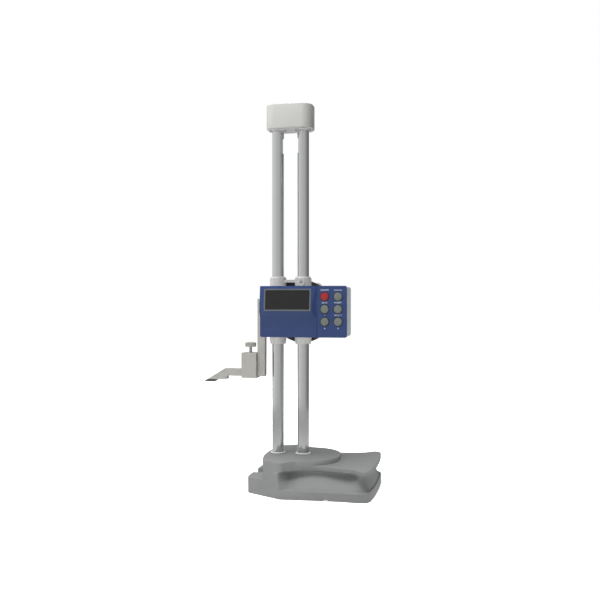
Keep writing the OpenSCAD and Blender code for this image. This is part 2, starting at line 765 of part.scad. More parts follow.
module slider_casting() {
  color(slider_paint) at_slider()
    difference() {
      slider_solid();
      on_columns() translate([0, 0, -1]) cylinder(d = bore_d, h = sleeve_h + 2, $fn = 64);
      rod_y(feed_x, feed_z, feed_r + pinion_clear, pocket_front, slider_rear + 1);
      rod_y(encoder_x, encoder_z, encoder_r + pinion_clear, pocket_front, slider_rear + 1);
      rod_y(feed_x, feed_z, bush_r, front_bush_y, 0);
      rod_y(encoder_x, encoder_z, encoder_shaft_d / 2 + turning_gap, -pad_front - 1, 0);
      rod_y(boss_x, boss_z, adjuster_d / 2, -sleeve_d, 0);
      rod_x(column_x, lock_boss_end + 1, lock_y, lock_z, lock_screw_d / 2 + turning_gap);
      for (z = arm_screw_z) rod_x(-arm_right - 1, -arm_right + arm_screw_grip, 0, z, arm_screw_d / 2);
      for (p = display_screw_places)
        rod_y(p[0], p[1], display_screw_d / 2, -pad_front - 1, 0.2 - pad_front + pad_grip);
      for (p = housing_screw_places)
        rod_y(p[0], p[1], housing_screw_d / 2, slider_rear - housing_grip, slider_rear + 1);
    }
}

module guide_bushings() {
  color(brass) at_slider() on_columns() for (z = [wiper_t, sleeve_h - bushing_l])
    translate([0, 0, z]) difference() {
      cylinder(d = bore_d, h = bushing_l, $fn = 64);
      translate([0, 0, -1]) cylinder(r = column_r + running_gap, h = bushing_l + 2, $fn = 64);
    }
}

module wiper_ring(outer_d) {
  difference() {
    cylinder(d = outer_d, h = wiper_t, $fn = 64);
    translate([0, 0, -1]) cylinder(r = column_r + running_gap, h = wiper_t + 2, $fn = 64);
  }
}

module wiper_rings() {
  color("#8d8f90") at_slider() on_columns() {
    translate([0, 0, sleeve_h]) wiper_ring(bore_d + 0.6);
    wiper_ring(bore_d);
  }
}

module clamp_adjusting_screw() {
  tip = column_r + running_gap + bushing_wall;
  color(steel) at_slider() difference() {
    rod_y(boss_x, boss_z, adjuster_d / 2, -sleeve_d / 2 - 2, -tip);
    translate([boss_x, -sleeve_d / 2 - 2.1, boss_z]) rotate([-90, 0, 0])
      cylinder(r = adjuster_d / 4, h = 1.6, $fn = 6);
  }
}

module lock_shoe() {
  reach = 2 * lock_screw_d;
  color(brass) at_slider() difference() {
    rod_x(column_x, shoe_start + shoe_l, lock_y, lock_z, lock_screw_d / 2 + turning_gap);
    translate([column_x, 0, lock_z - reach])
      cylinder(r = column_r + running_gap + 0.15, h = 2 * reach, $fn = 64);
  }
}

// Feed housing and shaft bushes

module housing_plate() {
  plate(-turret_start, -slider_rear) soft_rect(-housing_half_w, housing_low, housing_half_w, housing_high, 4);
}

module feed_housing() {
  color(case_grey) at_slider() difference() {
    union() {
      housing_plate();
      rod_y(feed_x, feed_z, turret_d / 2, turret_start - 1, turret_end);
    }
    rod_y(feed_x, feed_z, bush_r, slider_rear - 1, turret_end + 1);
    rod_y(encoder_x, encoder_z, encoder_shaft_d / 2 + turning_gap, slider_rear - 1, slider_rear + 3);
    for (p = housing_screw_places) rod_y(p[0], p[1], housing_screw_d / 2, slider_rear - 1, turret_start + 1);
  }
}

module housing_screws() {
  color(steel) at_slider() for (p = housing_screw_places)
    translate([p[0], turret_start + head_h(housing_screw_d), p[1]]) rotate([90, 0, 0])
      cap_head_screw(housing_screw_d, housing_flange_t + housing_grip - 0.4);
}

module shaft_bush(y0, y1) {
  difference() {
    rod_y(feed_x, feed_z, bush_r, y0, y1);
    rod_y(feed_x, feed_z, shaft_d / 2 + turning_gap, y0 - 1, y1 + 1);
  }
}

module shaft_bushes() {
  color(brass) at_slider() {
    shaft_bush(front_bush_y, pocket_front);
    shaft_bush(turret_end - rear_bush_l, turret_end);
  }
}

module feed_shaft() {
  color(steel) at_slider() rod_y(feed_x, feed_z, shaft_d / 2, front_bush_y + 0.5, shaft_end);
}

module feed_pinion() {
  hub = pinion_w / 2 + 4;
  color(steel) at_slider() translate([feed_x, 0, feed_z]) rotate([90, 0, 0]) difference() {
    union() {
      translate([0, 0, -pinion_w / 2]) linear_extrude(pinion_w) pinion_outline(feed_teeth);
      translate([0, 0, -hub]) cylinder(r = feed_r - dedendum - 0.2, h = hub);
    }
    translate([0, 0, -hub - 1]) cylinder(d = shaft_d, h = 2 * hub + 2);
  }
}

// Handwheel: a dished wheel with a round rim, turned about its shaft
module handwheel() {
  r = wheel_d / 2;
  edge = 4;
  rim = [for (a = [-90:22.5:90])
    [r - edge * (1 - cos(a)), wheel_w / 2 + (wheel_w / 2 - edge) * sign(a) + edge * sin(a)]];
  color(black_plastic) at_slider() translate([feed_x, wheel_y, feed_z]) rotate([-90, 0, 0]) difference() {
    union() {
      rotate_extrude($fn = 96)
        polygon(concat([[shaft_d / 2, 0], [hub_d / 2, 0], [hub_d / 2 + 1, web_front]],
          [[r - wheel_rim - 1, web_front], [r - wheel_rim, 0]], rim,
          [[r - wheel_rim, wheel_w], [r - wheel_rim - 1.5, web_back]],
          [[hub_d / 2 + 1.5, web_back], [hub_d / 2, wheel_w], [shaft_d / 2, wheel_w]]));
      translate([crank_x, -crank_z, web_front]) cylinder(d = knob_d - 2, h = wheel_w - web_front);
    }
    translate([crank_x, -crank_z, -1]) cylinder(d = crank_pin_d, h = wheel_w + 2);
  }
}

module wheel_screw() {
  color(steel) at_slider() translate([feed_x, wheel_end, feed_z]) rotate([-90, 0, 0]) difference() {
    union() {
      cylinder(d = hub_d * 0.6, h = 1.2);
      cylinder(d = hub_d * 0.42, h = 4);
    }
    translate([0, 0, 2]) cylinder(r = 2, h = 3, $fn = 6);
  }
}

module crank_pin() {
  x = feed_x + crank_x;
  z = feed_z + crank_z;
  color(steel) at_slider() {
    rod_y(x, z, crank_pin_d / 2, wheel_y + web_front - 0.5, knob_end + 0.6);
    rod_y(x, z, crank_pin_d / 2 + 1.4, knob_end + 0.4, knob_end + 0.4 + crank_head_h);
  }
}

module crank_knob() {
  r = knob_d / 2;
  bore = crank_pin_d / 2 + turning_gap;
  color(slider_paint) at_slider() translate([feed_x + crank_x, knob_start, feed_z + crank_z])
    rotate([-90, 0, 0]) rotate_extrude()
      polygon(concat([[bore, 0], [r - 2.6, 0]],
        [for (i = [0:8]) let (u = i / 8) [r - 2.2 + 2.2 * sin(115 * u + 5), 0.6 + (knob_l - 1.8) * u]],
        [[r - 1.5, knob_l], [bore, knob_l]]));
}

// Encoder

module encoder_shaft() {
  color(steel) at_slider() rod_y(encoder_x, encoder_z, encoder_shaft_d / 2, -disc_y - 2.5, slider_rear + 2.6);
}

module encoder_pinion() {
  color(brass) at_slider() translate([encoder_x, 0, encoder_z]) rotate([90, 180, 0]) difference() {
    translate([0, 0, -pinion_w / 2]) linear_extrude(pinion_w) pinion_outline(encoder_teeth);
    translate([0, 0, -pinion_w]) cylinder(d = encoder_shaft_d, h = 2 * pinion_w);
  }
}

module encoder_disc() {
  slot_w = 1.1;
  color("#d9dce0") at_slider() translate([encoder_x, -disc_y, encoder_z]) rotate([90, 0, 0]) difference() {
    union() {
      cylinder(d = disc_d, h = 0.8);
      translate([0, 0, -2]) cylinder(r = 4, h = 3.4);
    }
    translate([0, 0, -3]) cylinder(d = encoder_shaft_d, h = 6);
    for (i = ends(disc_slots)) rotate(i * 360 / disc_slots)
      translate([disc_d / 2 - 4, -slot_w / 2, -1]) cube([2.6, slot_w, 3]);
  }
}

// Arm, clamp and scriber

module measuring_arm() {
  color(bar_steel) at_slider() difference() {
    union() {
      translate([-arm_left, -bar_side / 2, arm_bottom]) cube([bar_side, bar_side, arm_h]);
      translate([-foot_left, -bar_side / 2, arm_bottom]) cube([foot_left - arm_left + 1, bar_side, bar_side]);
    }
    for (z = arm_screw_z) {
      rod_x(-arm_left - 1, 0, 0, z, arm_screw_d / 2 + turning_gap);
      rod_x(-arm_left - 1, -arm_left + arm_counterbore, 0, z, head_r(arm_screw_d) + 0.2);
    }
  }
}

module arm_screws() {
  color(steel) at_slider() for (z = arm_screw_z)
    translate([-arm_left + arm_counterbore - head_h(arm_screw_d), 0, z]) rotate([0, 90, 0])
      cap_head_screw(arm_screw_d, bar_side - arm_counterbore + arm_screw_grip - 0.5);
}

module clamp_box() {
  slot_top = foot_top + 2;
  color(bar_steel) at_slider() difference() {
    translate([-clamp_left, -clamp_w / 2, clamp_bottom]) cube([clamp_l, clamp_w, clamp_h]);
    translate([-clamp_left - 1, -bar_side / 2, clamp_bottom + clamp_floor])
      cube([clamp_l + 2, bar_side, slot_top - clamp_bottom - clamp_floor]);
    translate([-clamp_x, 0, foot_top]) cylinder(d = stem_d + 2 * turning_gap, h = clamp_h);
  }
}

module thumb_screw() {
  r = thumb_d / 2;
  head_z = clamp_top + stem_seen;
  dome = 0.9;
  color(bar_steel) at_slider() translate([-clamp_x, 0, 0]) {
    translate([0, 0, foot_top + 0.15]) cylinder(d = stem_d, h = head_z - foot_top);
    translate([0, 0, head_z]) rotate_extrude($fn = 64)
      polygon([[0, 0], [r - 0.5, 0], [r, 0.5], [r, thumb_h - 0.5], [r - 0.5, thumb_h],
        [r * 0.6, thumb_h + dome * 0.7], [r * 0.25, thumb_h + dome], [0, thumb_h + dome]]);
  }
}

module scriber() {
  half = bar_side / 2 - 0.05;
  color(bar_steel) at_slider() rotate([90, 0, 0]) linear_extrude(2 * half, center = true)
    polygon([[-arm_right, scriber_bottom], [-arm_right, scriber_top], [tip_x + nose_l, scriber_top],
      [tip_x + carbide_nose, carbide_top], [tip_x + step_l - 0.8, carbide_top],
      [tip_x + step_l, carbide_top + 0.8], [tip_x + step_l, scriber_bottom]]);
}

module carbide_tip() {
  half = bar_side / 2 - 0.05;
  color("#55575b") at_slider() rotate([90, 0, 0]) linear_extrude(2 * half, center = true)
    polygon([[tip_x, edge_z], [tip_x + carbide_l - 1.4, edge_z], [tip_x + carbide_l, edge_z + 1.4],
      [tip_x + carbide_l, carbide_top], [tip_x + carbide_nose, carbide_top], [tip_x, edge_z + tip_land]]);
}

// Display unit

module display_outline(inset, r = case_corner) {
  soft_rect(display_x + inset, display_z + inset, display_right - inset, display_top - inset, r);
}

// Puts children on the wedge's sloping face: X along it, Y up the slope from its top edge, Z out of it
module on_screen() {
  translate([display_x + bezel_left, -display_front, display_top]) rotate([90 - wedge_tilt, 0, 0])
    translate([0, -bezel_top - bezel_h, 0]) children();
}

module wedge() {
  profile = [[-display_front + eps, display_top], [-display_front - wedge_proud, display_top - wedge_fold],
    [-display_front + eps, display_top - wedge_fold - wedge_chamfer]];
  points = concat([for (p = profile) [display_x, p[0], p[1]]], [for (p = profile) [wedge_end, p[0], p[1]]],
    [[panel_edge, profile[0][0], profile[0][1]], [panel_edge, profile[2][0], profile[2][1]]]);
  hull() polyhedron(points, [[0, 1, 2], [0, 3, 4], [0, 4, 1], [1, 4, 5], [1, 5, 2], [3, 6, 4], [4, 6, 7],
    [4, 7, 5], [0, 2, 5], [0, 5, 3], [3, 5, 7], [3, 7, 6]]);
}

module front_cover() {
  rim = 1.2;
  rim_inset = case_wall + 0.15 + sliding_gap;
  screen_cut = 12;
  color(cover_blue) at_slider() difference() {
    union() {
      plate(case_front, display_front) display_outline(0);
      wedge();
      plate(case_front - 2, case_front + eps) difference() {
        display_outline(rim_inset, case_corner + 1);
        display_outline(rim_inset + rim);
      }
      for (p = case_screw_places) rod_y(p[0], p[1], cover_boss_r, -case_front - eps, -case_front + boss_h);
    }
    on_screen() translate([0, 0, -screen_cut]) cube([bezel_w, bezel_h, screen_cut + 8]);
    for (x = button_x, z = button_z)
      rod_y(x, z, button_d / 2 + button_gap, -display_front - 1, -case_front + 1);
    for (p = case_screw_places)
      rod_y(p[0], p[1], case_screw_d / 2, -case_front - 1, -case_front + boss_h + 1);
    translate([panel_edge + 0.8, -display_front - 1, display_z - 1]) cube([1.4, 1.7, display_h + 2]);
  }
}

function case_loop(inset) =
  let (r = case_corner + 0.6, x0 = display_x + inset, x1 = display_right - inset,
    z0 = display_z + inset, z1 = display_top - inset)
  [for (q = [[x1 - r, z1 - r, 0], [x0 + r, z1 - r, 90], [x0 + r, z0 + r, 180], [x1 - r, z0 + r, 270]])
    for (i = [0:5]) [q[0] + r * cos(q[2] + i * 18), q[1] + r * sin(q[2] + i * 18)]];

module bulge_outline(inset) {
  edge = bulge_inset + inset;
  soft_rect(bulge_x + inset, display_z + edge, display_right - edge, display_top - edge, case_corner);
}

module case_back() {
  knee = case_rear + 13;
  draft = 0.5;
  color(case_grey) at_slider() difference() {
    union() {
      rotate([90, 0, 0]) skin([case_loop(draft), case_loop(0.35), case_loop(0.15)],
        [case_rear, knee, case_front]);
      plate(bulge_rear, case_rear + 2) bulge_outline(0);
    }
    difference() {
      union() {
        rotate([90, 0, 0]) skin([for (inset = [draft, 0.35, 0.15]) case_loop(inset + case_wall)],
          [case_rear + case_wall, knee, case_front + 1]);
        plate(bulge_rear + case_wall, case_rear + case_wall + 1) bulge_outline(case_wall);
      }
      for (p = case_screw_places) rod_y(p[0], p[1], case_boss_r, -case_front + boss_h, 0);
      rod_y(battery_x, battery_z, lid_r + case_wall, -contact_y - 1.5, 0);
    }
    rod_y(battery_x, battery_z, battery_r + 0.2, -contact_y, 0);
    rod_y(battery_x, battery_z, lid_r + button_gap, -bulge_rear - lid_t, 0);
    rod_y(encoder_x, encoder_z, encoder_shaft_d / 2 + 0.6, -case_rear - case_wall - 1, 0);
    for (p = display_screw_places) rod_y(p[0], p[1], display_screw_d / 2, -case_rear - case_wall - 1, 0);
    for (p = case_screw_places) {
      rod_y(p[0], p[1], case_screw_d / 2, -case_front, 0);
      rod_y(p[0], p[1], head_r(case_screw_d) + 0.2, -case_screw_seat, 0);
    }
  }
}

module case_screws() {
  color(steel) at_slider() for (p = case_screw_places)
    translate([p[0], head_h(case_screw_d) - case_screw_seat, p[1]]) rotate([90, 0, 0])
      cap_head_screw(case_screw_d, case_front - case_screw_seat - 0.4);
}

module display_screws() {
  color(steel) at_slider() for (p = display_screw_places)
    translate([p[0], -case_rear - case_wall - head_h(display_screw_d), p[1]]) rotate([-90, 0, 0])
      cap_head_screw(display_screw_d, case_wall + pad_grip);
}

module display_bezel() {
  depth = 2.6;
  color("#6c6e70") at_slider() on_screen() translate([0, 0, -depth + 0.3]) difference() {
    cube([bezel_w, bezel_h, depth]);
    translate([bezel_frame, bezel_frame, -1])
      cube([bezel_w - 2 * bezel_frame, bezel_h - 2 * bezel_frame, depth + 2]);
  }
}

module display_window() {
  color("#2d2d2d") at_slider() on_screen() translate([bezel_frame, bezel_frame, -1.9])
    cube([bezel_w - 2 * bezel_frame, bezel_h - 2 * bezel_frame, window_t]);
}

module display_panel() {
  edge = bezel_frame + 1.2;
  color("#8f9b86") at_slider() on_screen() translate([edge, edge, -3.5])
    cube([bezel_w - 2 * edge, bezel_h - 2 * edge, 1.6]);
}

module circuit_board() {
  edge = case_wall + 0.6;
  color("#2f6b45") at_slider() difference() {
    union() {
      plate(board_y, board_y + board_t) display_outline(edge);
      for (c = chips) translate([c[0], -board_y - eps, c[1]]) cube([c[2], c[3], c[2]]);
    }
    for (p = case_screw_places) rod_y(p[0], p[1], case_boss_r, -board_y - board_t - 1, -board_y + 1);
  }
}

module encoder_reader() {
  reader_w = 9;
  color(black_plastic) at_slider() difference() {
    translate([encoder_x - reader_w / 2, -board_y, encoder_z - disc_d / 2 - 3.5])
      cube([reader_w, board_y - disc_y + 3, 9]);
    translate([encoder_x - reader_w, -disc_y - 1.8, encoder_z - disc_d / 2 - 0.6])
      cube([2 * reader_w, 2.8, 12]);
  }
}

module keypad_mat() {
  mat_x = panel_edge + 3.2;
  color("#2a2b2d") at_slider() {
    plate(mat_front - mat_t, mat_front)
      soft_rect(mat_x, display_z + 9, display_right - case_wall - 1.5, display_top - 9, 2);
    for (x = button_x, z = button_z) rod_y(x, z, 2, -mat_front + mat_t - eps, -board_y - board_t);
  }
}

module battery() {
  color(steel) at_slider() rod_y(battery_x, battery_z, battery_r, -battery_rear - battery_t, -battery_rear);
}

module battery_contact() {
  color(brass) at_slider() {
    rod_y(battery_x, battery_z, battery_r - 3, -contact_y, 0.4 - contact_y);
    rod_y(battery_x, battery_z, 2.5, 0.3 - contact_y, -battery_rear - battery_t);
  }
}

module battery_cover() {
  color(black_plastic) at_slider() difference() {
    rod_y(battery_x, battery_z, lid_r, -bulge_rear - lid_t + 0.2, -bulge_rear + 0.2);
    translate([battery_x - 5, -bulge_rear - 0.9, battery_z - 0.8]) cube([10, 2, 1.6]);
  }
}

// Buttons

module button(col, row, tone) {
  crown = 0.5;
  back = mat_front + button_travel + 0.15;
  face = display_front + button_proud;
  color(tone) at_slider() translate([button_x[col], 0, button_z[row]]) rotate([90, 0, 0]) rotate_extrude()
    polygon([[0, back], [flange_r, back], [flange_r, case_front - 0.3], [button_d / 2, case_front - 0.3],
      [button_d / 2, face - crown], [button_d / 2 - crown, face], [0, face]]);
}

module power_button() { button(0, 0, "#c82d2d"); }
module unit_button() { button(1, 0, key_grey); }
module zero_button() { button(0, 1, key_grey); }
module preset_button() { button(1, 1, key_grey); }
module up_button() { button(0, 2, key_grey); }
module down_button() { button(1, 2, key_grey); }

// Slider lock: a screw with a ribbed knob, turned by hand

module lock_knob() {
  r = lock_knob_d / 2;
  start = lock_boss_end + 1;
  color(black_plastic) at_slider() {
    rod_x(shoe_start + shoe_l + 0.1, start + 2, lock_y, lock_z, lock_screw_d / 2);
    translate([start, lock_y, lock_z]) rotate([0, 90, 0]) rotate_extrude()
      polygon([[0, 0], [r - 1.5, 0], [r, 1.5], [r, lock_knob_l - 1], [r - 1, lock_knob_l], [0, lock_knob_l]]);
  }
}

base_casting();
left_column();
right_column();
base_collars();
column_screws();
top_cap();
cap_collars();
cap_screws();
slider_casting();
guide_bushings();
wiper_rings();
clamp_adjusting_screw();
lock_shoe();
shaft_bushes();
feed_housing();
housing_screws();
measuring_arm();
arm_screws();
clamp_box();
case_back();
case_screws();
display_screws();
front_cover();
display_bezel();
display_window();
display_panel();
circuit_board();
encoder_reader();
keypad_mat();
battery();
battery_contact();
feed_shaft();
feed_pinion();
handwheel();
wheel_screw();
crank_pin();
crank_knob();
encoder_shaft();
encoder_pinion();
encoder_disc();
power_button();
unit_button();
zero_button();
preset_button();
up_button();
down_button();
lock_knob();
thumb_screw();
scriber();
carbide_tip();
battery_cover();
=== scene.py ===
# %% [markdown]
# A digital height gauge stands on a heavy cast base. Two ground columns carry a slider with a
# display, and a handwheel behind it drives the slider up and down a rack. The solid parts come
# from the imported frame. This lesson gives each of them the finish that the real one has, and
# makes anew the pieces whose edges and curves need more than the plain solids show.

# %% Load the frame
import json
import math

import bmesh
import bpy
from mathutils import Matrix, Vector


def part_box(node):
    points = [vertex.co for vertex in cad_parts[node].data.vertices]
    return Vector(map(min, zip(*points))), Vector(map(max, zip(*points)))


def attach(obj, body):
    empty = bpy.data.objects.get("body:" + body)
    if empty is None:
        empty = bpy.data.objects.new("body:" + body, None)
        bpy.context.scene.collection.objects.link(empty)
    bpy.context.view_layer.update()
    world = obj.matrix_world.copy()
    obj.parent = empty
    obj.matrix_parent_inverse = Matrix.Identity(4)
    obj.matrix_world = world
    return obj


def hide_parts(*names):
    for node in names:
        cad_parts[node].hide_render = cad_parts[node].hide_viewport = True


MM = 0.001
X, Y, Z = 0, 1, 2
WHITE = (1.0, 1.0, 1.0)

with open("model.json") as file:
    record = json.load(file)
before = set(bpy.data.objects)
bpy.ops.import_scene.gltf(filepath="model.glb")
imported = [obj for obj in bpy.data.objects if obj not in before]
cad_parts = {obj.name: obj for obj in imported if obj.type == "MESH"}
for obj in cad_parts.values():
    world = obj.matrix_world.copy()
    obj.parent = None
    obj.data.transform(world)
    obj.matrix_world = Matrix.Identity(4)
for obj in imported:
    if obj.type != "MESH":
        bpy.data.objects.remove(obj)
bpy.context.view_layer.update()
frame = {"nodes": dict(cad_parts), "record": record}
scene = bpy.context.scene
nodes = frame["nodes"]
bodies = frame["record"]["behaviour"]["bodies"]
body_of_node = {name: body for body, members in bodies.items() for name in members}
slot_of_node = {row["node"]: row["material_slot"] for row in frame["record"]["subparts"]}

# %% [markdown]
# The picture was taken level, at the height of the display, from a little to the right. A
# camera that stays level keeps the columns upright. Its place was worked out from the columns'
# distance, the cap and the base.

# %% Camera
TURN = math.radians(11.7)
CAMERA_PLACE = (0.2184, -0.998, 0.2289)
LENS_MM, SENSOR_MM = 50, 36

camera_data = bpy.data.cameras.new("camera")
camera_data.lens = LENS_MM
camera_data.sensor_width = SENSOR_MM
camera = bpy.data.objects.new("camera", camera_data)
camera.location = CAMERA_PLACE
camera.rotation_euler = (math.pi / 2, 0, TURN)
scene.collection.objects.link(camera)
scene.camera = camera
scene.view_settings.view_transform = "Standard"

# %% [markdown]
# Materials, the world and the repeated pieces are all trees of nodes, so one small class adds a
# node to any of them. What a node gives out is wrapped as a value, and a sum or product of values
# is written as plain Python, which adds a Math node. Colours go through Mix nodes, because a Math
# node would grey them.


# %% Nodes written as Python
# The Mix node has sockets for each kind of value. These are the ones for colours.
COLOUR_A, COLOUR_B, COLOUR_OUT = 6, 7, 2


class Value:
    """What a node gives out: a number, a colour, a shader or a shape."""

    def __init__(self, graph, socket):
        self.graph, self.socket = graph, socket

    def _sum(self, operation, other):
        return self.graph.node("ShaderNodeMath", {0: self, 1: other}, operation=operation)

    def __add__(self, other):
        return self._sum("ADD", other)

    def __mul__(self, other):
        return self._sum("MULTIPLY", other)

    __radd__ = __add__
    __rmul__ = __mul__


class Graph:
    """A tree of nodes that grows by one node at a time."""

    def __init__(self, tree):
        self.tree = tree

    def node(self, kind, inputs=None, output=0, **settings):
        """Adds a node. Its settings come first, because they can change which inputs it has."""
        made = self.tree.nodes.new(kind)
        for name, value in settings.items():
            setattr(made, name, value)
        for name, value in (inputs or {}).items():
            self.put(made.inputs[name], value)
        return Value(self, made.outputs[output])

    def put(self, socket, value):
        """Links a value to a socket, or sets it to a number, a vector or a colour."""
        if isinstance(value, Value):
            self.tree.links.new(value.socket, socket)
        elif socket.type == "RGBA":
            socket.default_value = (*value, 1)
        else:
            socket.default_value = value

    def seen_by(self, kinds, theirs, other):
        """One shader for the named kinds of rays, and another one for the rest."""
        rays = self.tree.nodes.new("ShaderNodeLightPath")
        mask = Value(self, rays.outputs[kinds[0]])
        for kind in kinds[1:]:
            ray = Value(self, rays.outputs[kind])
            mask = self.node("ShaderNodeMath", {0: mask, 1: ray}, operation="MAXIMUM")
        return self.node("ShaderNodeMixShader", {0: mask, 1: other, 2: theirs})


class Finish(Graph):
    """A material, built on the Principled shader unless it is given a shader of its own."""

    def __init__(self, name, **sockets):
        self.material = bpy.data.materials.new(name)
        self.material.use_nodes = True
        super().__init__(self.material.node_tree)
        for socket, value in sockets.items():
            self.feed(socket.replace("_", " "), value)

    def feed(self, socket, value):
        """Sets or links one of the Principled shader's sockets."""
        self.put(self.tree.nodes["Principled BSDF"].inputs[socket], value)

    def show(self, shader):
        """Shows another shader in the place of the Principled one."""
        self.put(self.tree.nodes["Material Output"].inputs["Surface"], shader)

    def place(self, stretch=(1, 1, 1), turn=(0, 0, 0)):
        """The piece's own coordinates in metres, stretched where a grain runs one way."""
        spot = self.node("ShaderNodeTexCoord", output="Object")
        return self.node("ShaderNodeMapping", {"Vector": spot, "Scale": stretch, "Rotation": turn})

    def noise(self, size_mm, detail=2.0, stretch=(1, 1, 1), rough=0.5):
        """Soft random grain with features of about size_mm."""
        inputs = {
            "Vector": self.place(stretch), "Scale": 1000 / size_mm, "Detail": detail,
            "Roughness": rough,
        }
        return self.node("ShaderNodeTexNoise", inputs, "Fac")

    def slope(self, value, start, end):
        """Bends a value to a straight slope between two (value, result) ends."""
        (low, at_low), (high, at_high) = start, end
        inputs = {
            "Value": value, "From Min": low, "From Max": high, "To Min": at_low, "To Max": at_high,
        }
        return self.node("ShaderNodeMapRange", inputs)

    def between(self, a, b, mask):
        """One colour where mask is 0, another where it is 1."""
        inputs = {"Factor": mask, COLOUR_A: a, COLOUR_B: b}
        return self.node("ShaderNodeMix", inputs, COLOUR_OUT, data_type="RGBA")

    def bump(self, height, depth_mm):
        """Raises the surface by height times depth_mm."""
        inputs = {"Height": height, "Distance": depth_mm * MM}
        self.feed("Normal", self.node("ShaderNodeBump", inputs, "Normal"))


def tone(srgb):
    """A colour as it reads in the picture, 0 to 255, turned into what the shader wants."""
    parts = [part / 255 for part in srgb]
    return tuple(c / 12.92 if c <= 0.04045 else ((c + 0.055) / 1.055) ** 2.4 for c in parts)


def shade(colour, factor):
    return tuple(min(1.0, c * factor) for c in colour)


# %% [markdown]
# Cast and painted surfaces are never one flat colour. Paint over sand-cast iron keeps a little
# of the grain of the mould, and its gloss changes from place to place. Two layers of noise, a
# fine one for the grain and a broad one for the unevenness, are enough at this size.


# %% Painted and cast finishes
def painted(name, srgb, rough, grain_mm, depth_mm, mottle=0.06):
    f = Finish(name, Roughness=rough)
    colour = tone(srgb)
    grain = f.noise(grain_mm, 4.0, rough=0.6)
    cloud = f.noise(grain_mm * 30)
    mask = cloud * 0.6 + grain * 0.4
    f.feed("Base Color", f.between(shade(colour, 1 - mottle), shade(colour, 1 + mottle), mask))
    f.feed("Roughness", grain * 0.12 + cloud * 0.08 + (rough - 0.1))
    f.bump(grain, depth_mm)
    return f.material


# %% [markdown]
# Ground steel keeps fine lines along the way it was ground. Noise that is stretched along one
# axis gives such lines. They change the gloss more than the colour. Moulded plastic and rubber
# have a fine even grain, and the tinted window has none.


# %% Steel, plastic and glass finishes
GROUND_ALONG = {"x": (0.02, 1, 1), "z": (1, 1, 0.02), "round": (1, 1, 1)}
STEEL_CLOUD, PLASTIC_CLOUD, GLASS_CLOUD = 9, 18, 14
PLASTIC_GRAIN, PLASTIC_DEPTH = 0.35, 0.012


def ground(name, srgb, rough, along, line_mm=0.15, depth_mm=0.002, metallic=1.0):
    f = Finish(name, Roughness=rough, Metallic=metallic)
    colour = tone(srgb)
    lines = f.noise(line_mm, 3.0, GROUND_ALONG[along])
    cloud = f.noise(STEEL_CLOUD)
    mask = cloud * 0.5 + lines * 0.5
    f.feed("Base Color", f.between(shade(colour, 0.94), shade(colour, 1.05), mask))
    f.feed("Roughness", lines * 0.1 + cloud * 0.06 + (rough - 0.08))
    f.bump(lines, depth_mm)
    return f.material


def moulded(name, srgb, rough, coat=0.0):
    f = Finish(name, Roughness=rough, Coat_Weight=coat, Coat_Roughness=0.2)
    colour = tone(srgb)
    grain = f.noise(PLASTIC_GRAIN)
    cloud = f.noise(PLASTIC_CLOUD)
    mask = cloud * 0.6 + grain * 0.4
    f.feed("Base Color", f.between(shade(colour, 0.93), shade(colour, 1.06), mask))
    f.feed("Roughness", grain * 0.1 + (rough - 0.05))
    f.bump(grain, PLASTIC_DEPTH)
    return f.material


def tinted_window(name):
    f = Finish(name, Roughness=0.06)
    cloud = f.noise(GLASS_CLOUD)
    f.feed("Base Color", f.between(tone((10, 10, 12)), tone((20, 20, 21)), cloud))
    f.feed("Roughness", cloud * 0.05 + 0.05)
    return f.material


finishes = {
    "iron": painted("cast iron paint", (120, 121, 121), rough=0.55, grain_mm=0.9, depth_mm=0.05),
    "cap_paint": painted(
        "cap paint", (181, 181, 178), rough=0.45, grain_mm=0.5, depth_mm=0.015, mottle=0.03
    ),
    "slider_paint": painted(
        "slider paint", (184, 182, 180), rough=0.5, grain_mm=0.5, depth_mm=0.015, mottle=0.04
    ),
    "housing_paint": painted(
        "housing paint", (22, 23, 26), rough=0.5, grain_mm=0.5, depth_mm=0.02
    ),
    "column_steel": ground("column steel", (206, 207, 208), 0.11, "z"),
    "bright_steel": ground("bright steel", (226, 226, 225), 0.3, "round", metallic=0.4),
    "screw_steel": ground("screw steel", (178, 178, 178), 0.4, "round"),
    "bar_steel": ground(
        "satin bar steel", (175, 174, 169), 0.42, "x", line_mm=0.2, depth_mm=0.003, metallic=0.5
    ),
    "carbide": ground("carbide", (104, 104, 107), 0.35, "round"),
    "brass": ground("brass", (190, 160, 95), 0.3, "round"),
    "grey_plastic": moulded("grey plastic", (181, 189, 194), 0.5),
    "blue_plastic": moulded("blue plastic", (34, 56, 104), 0.34),
    "black_plastic": moulded("black plastic", (11, 12, 16), 0.5),
    "bezel_plastic": moulded("bezel plastic", (90, 92, 94), 0.4),
    "window": tinted_window("tinted window"),
    "panel_glass": moulded("display glass", (120, 128, 116), 0.2),
    "circuit": moulded("circuit board", (40, 92, 60), 0.4),
    "rubber": moulded("rubber", (36, 36, 38), 0.7),
    "key_grey": moulded("grey key", (102, 108, 102), 0.5),
    "key_red": moulded("red key", (148, 28, 28), 0.45),
    "knob_grey": moulded("knob grey", (176, 176, 174), 0.35, coat=0.3),
}
print("finishes:", len(finishes))

# %% [markdown]
# Every real edge is broken a little, and it is the small bright line along it that tells the
# eye how big a thing is. A copy of each solid is merged, its flat faces are joined, and a
# narrow bevel runs along its sharp edges.


# %% Dress a solid of the frame
SHARP_ANGLE, FLAT_ANGLE = 32, math.radians(0.4)
DOUBLES, EDGE_STEPS = 2e-6, 2


def wear(piece, name):
    """Puts a finished piece on its node's body, in the place of the node."""
    scene.collection.objects.link(piece)
    piece.data.materials.append(finishes[slot_of_node[name]])
    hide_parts(name)
    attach(piece, body_of_node[name])


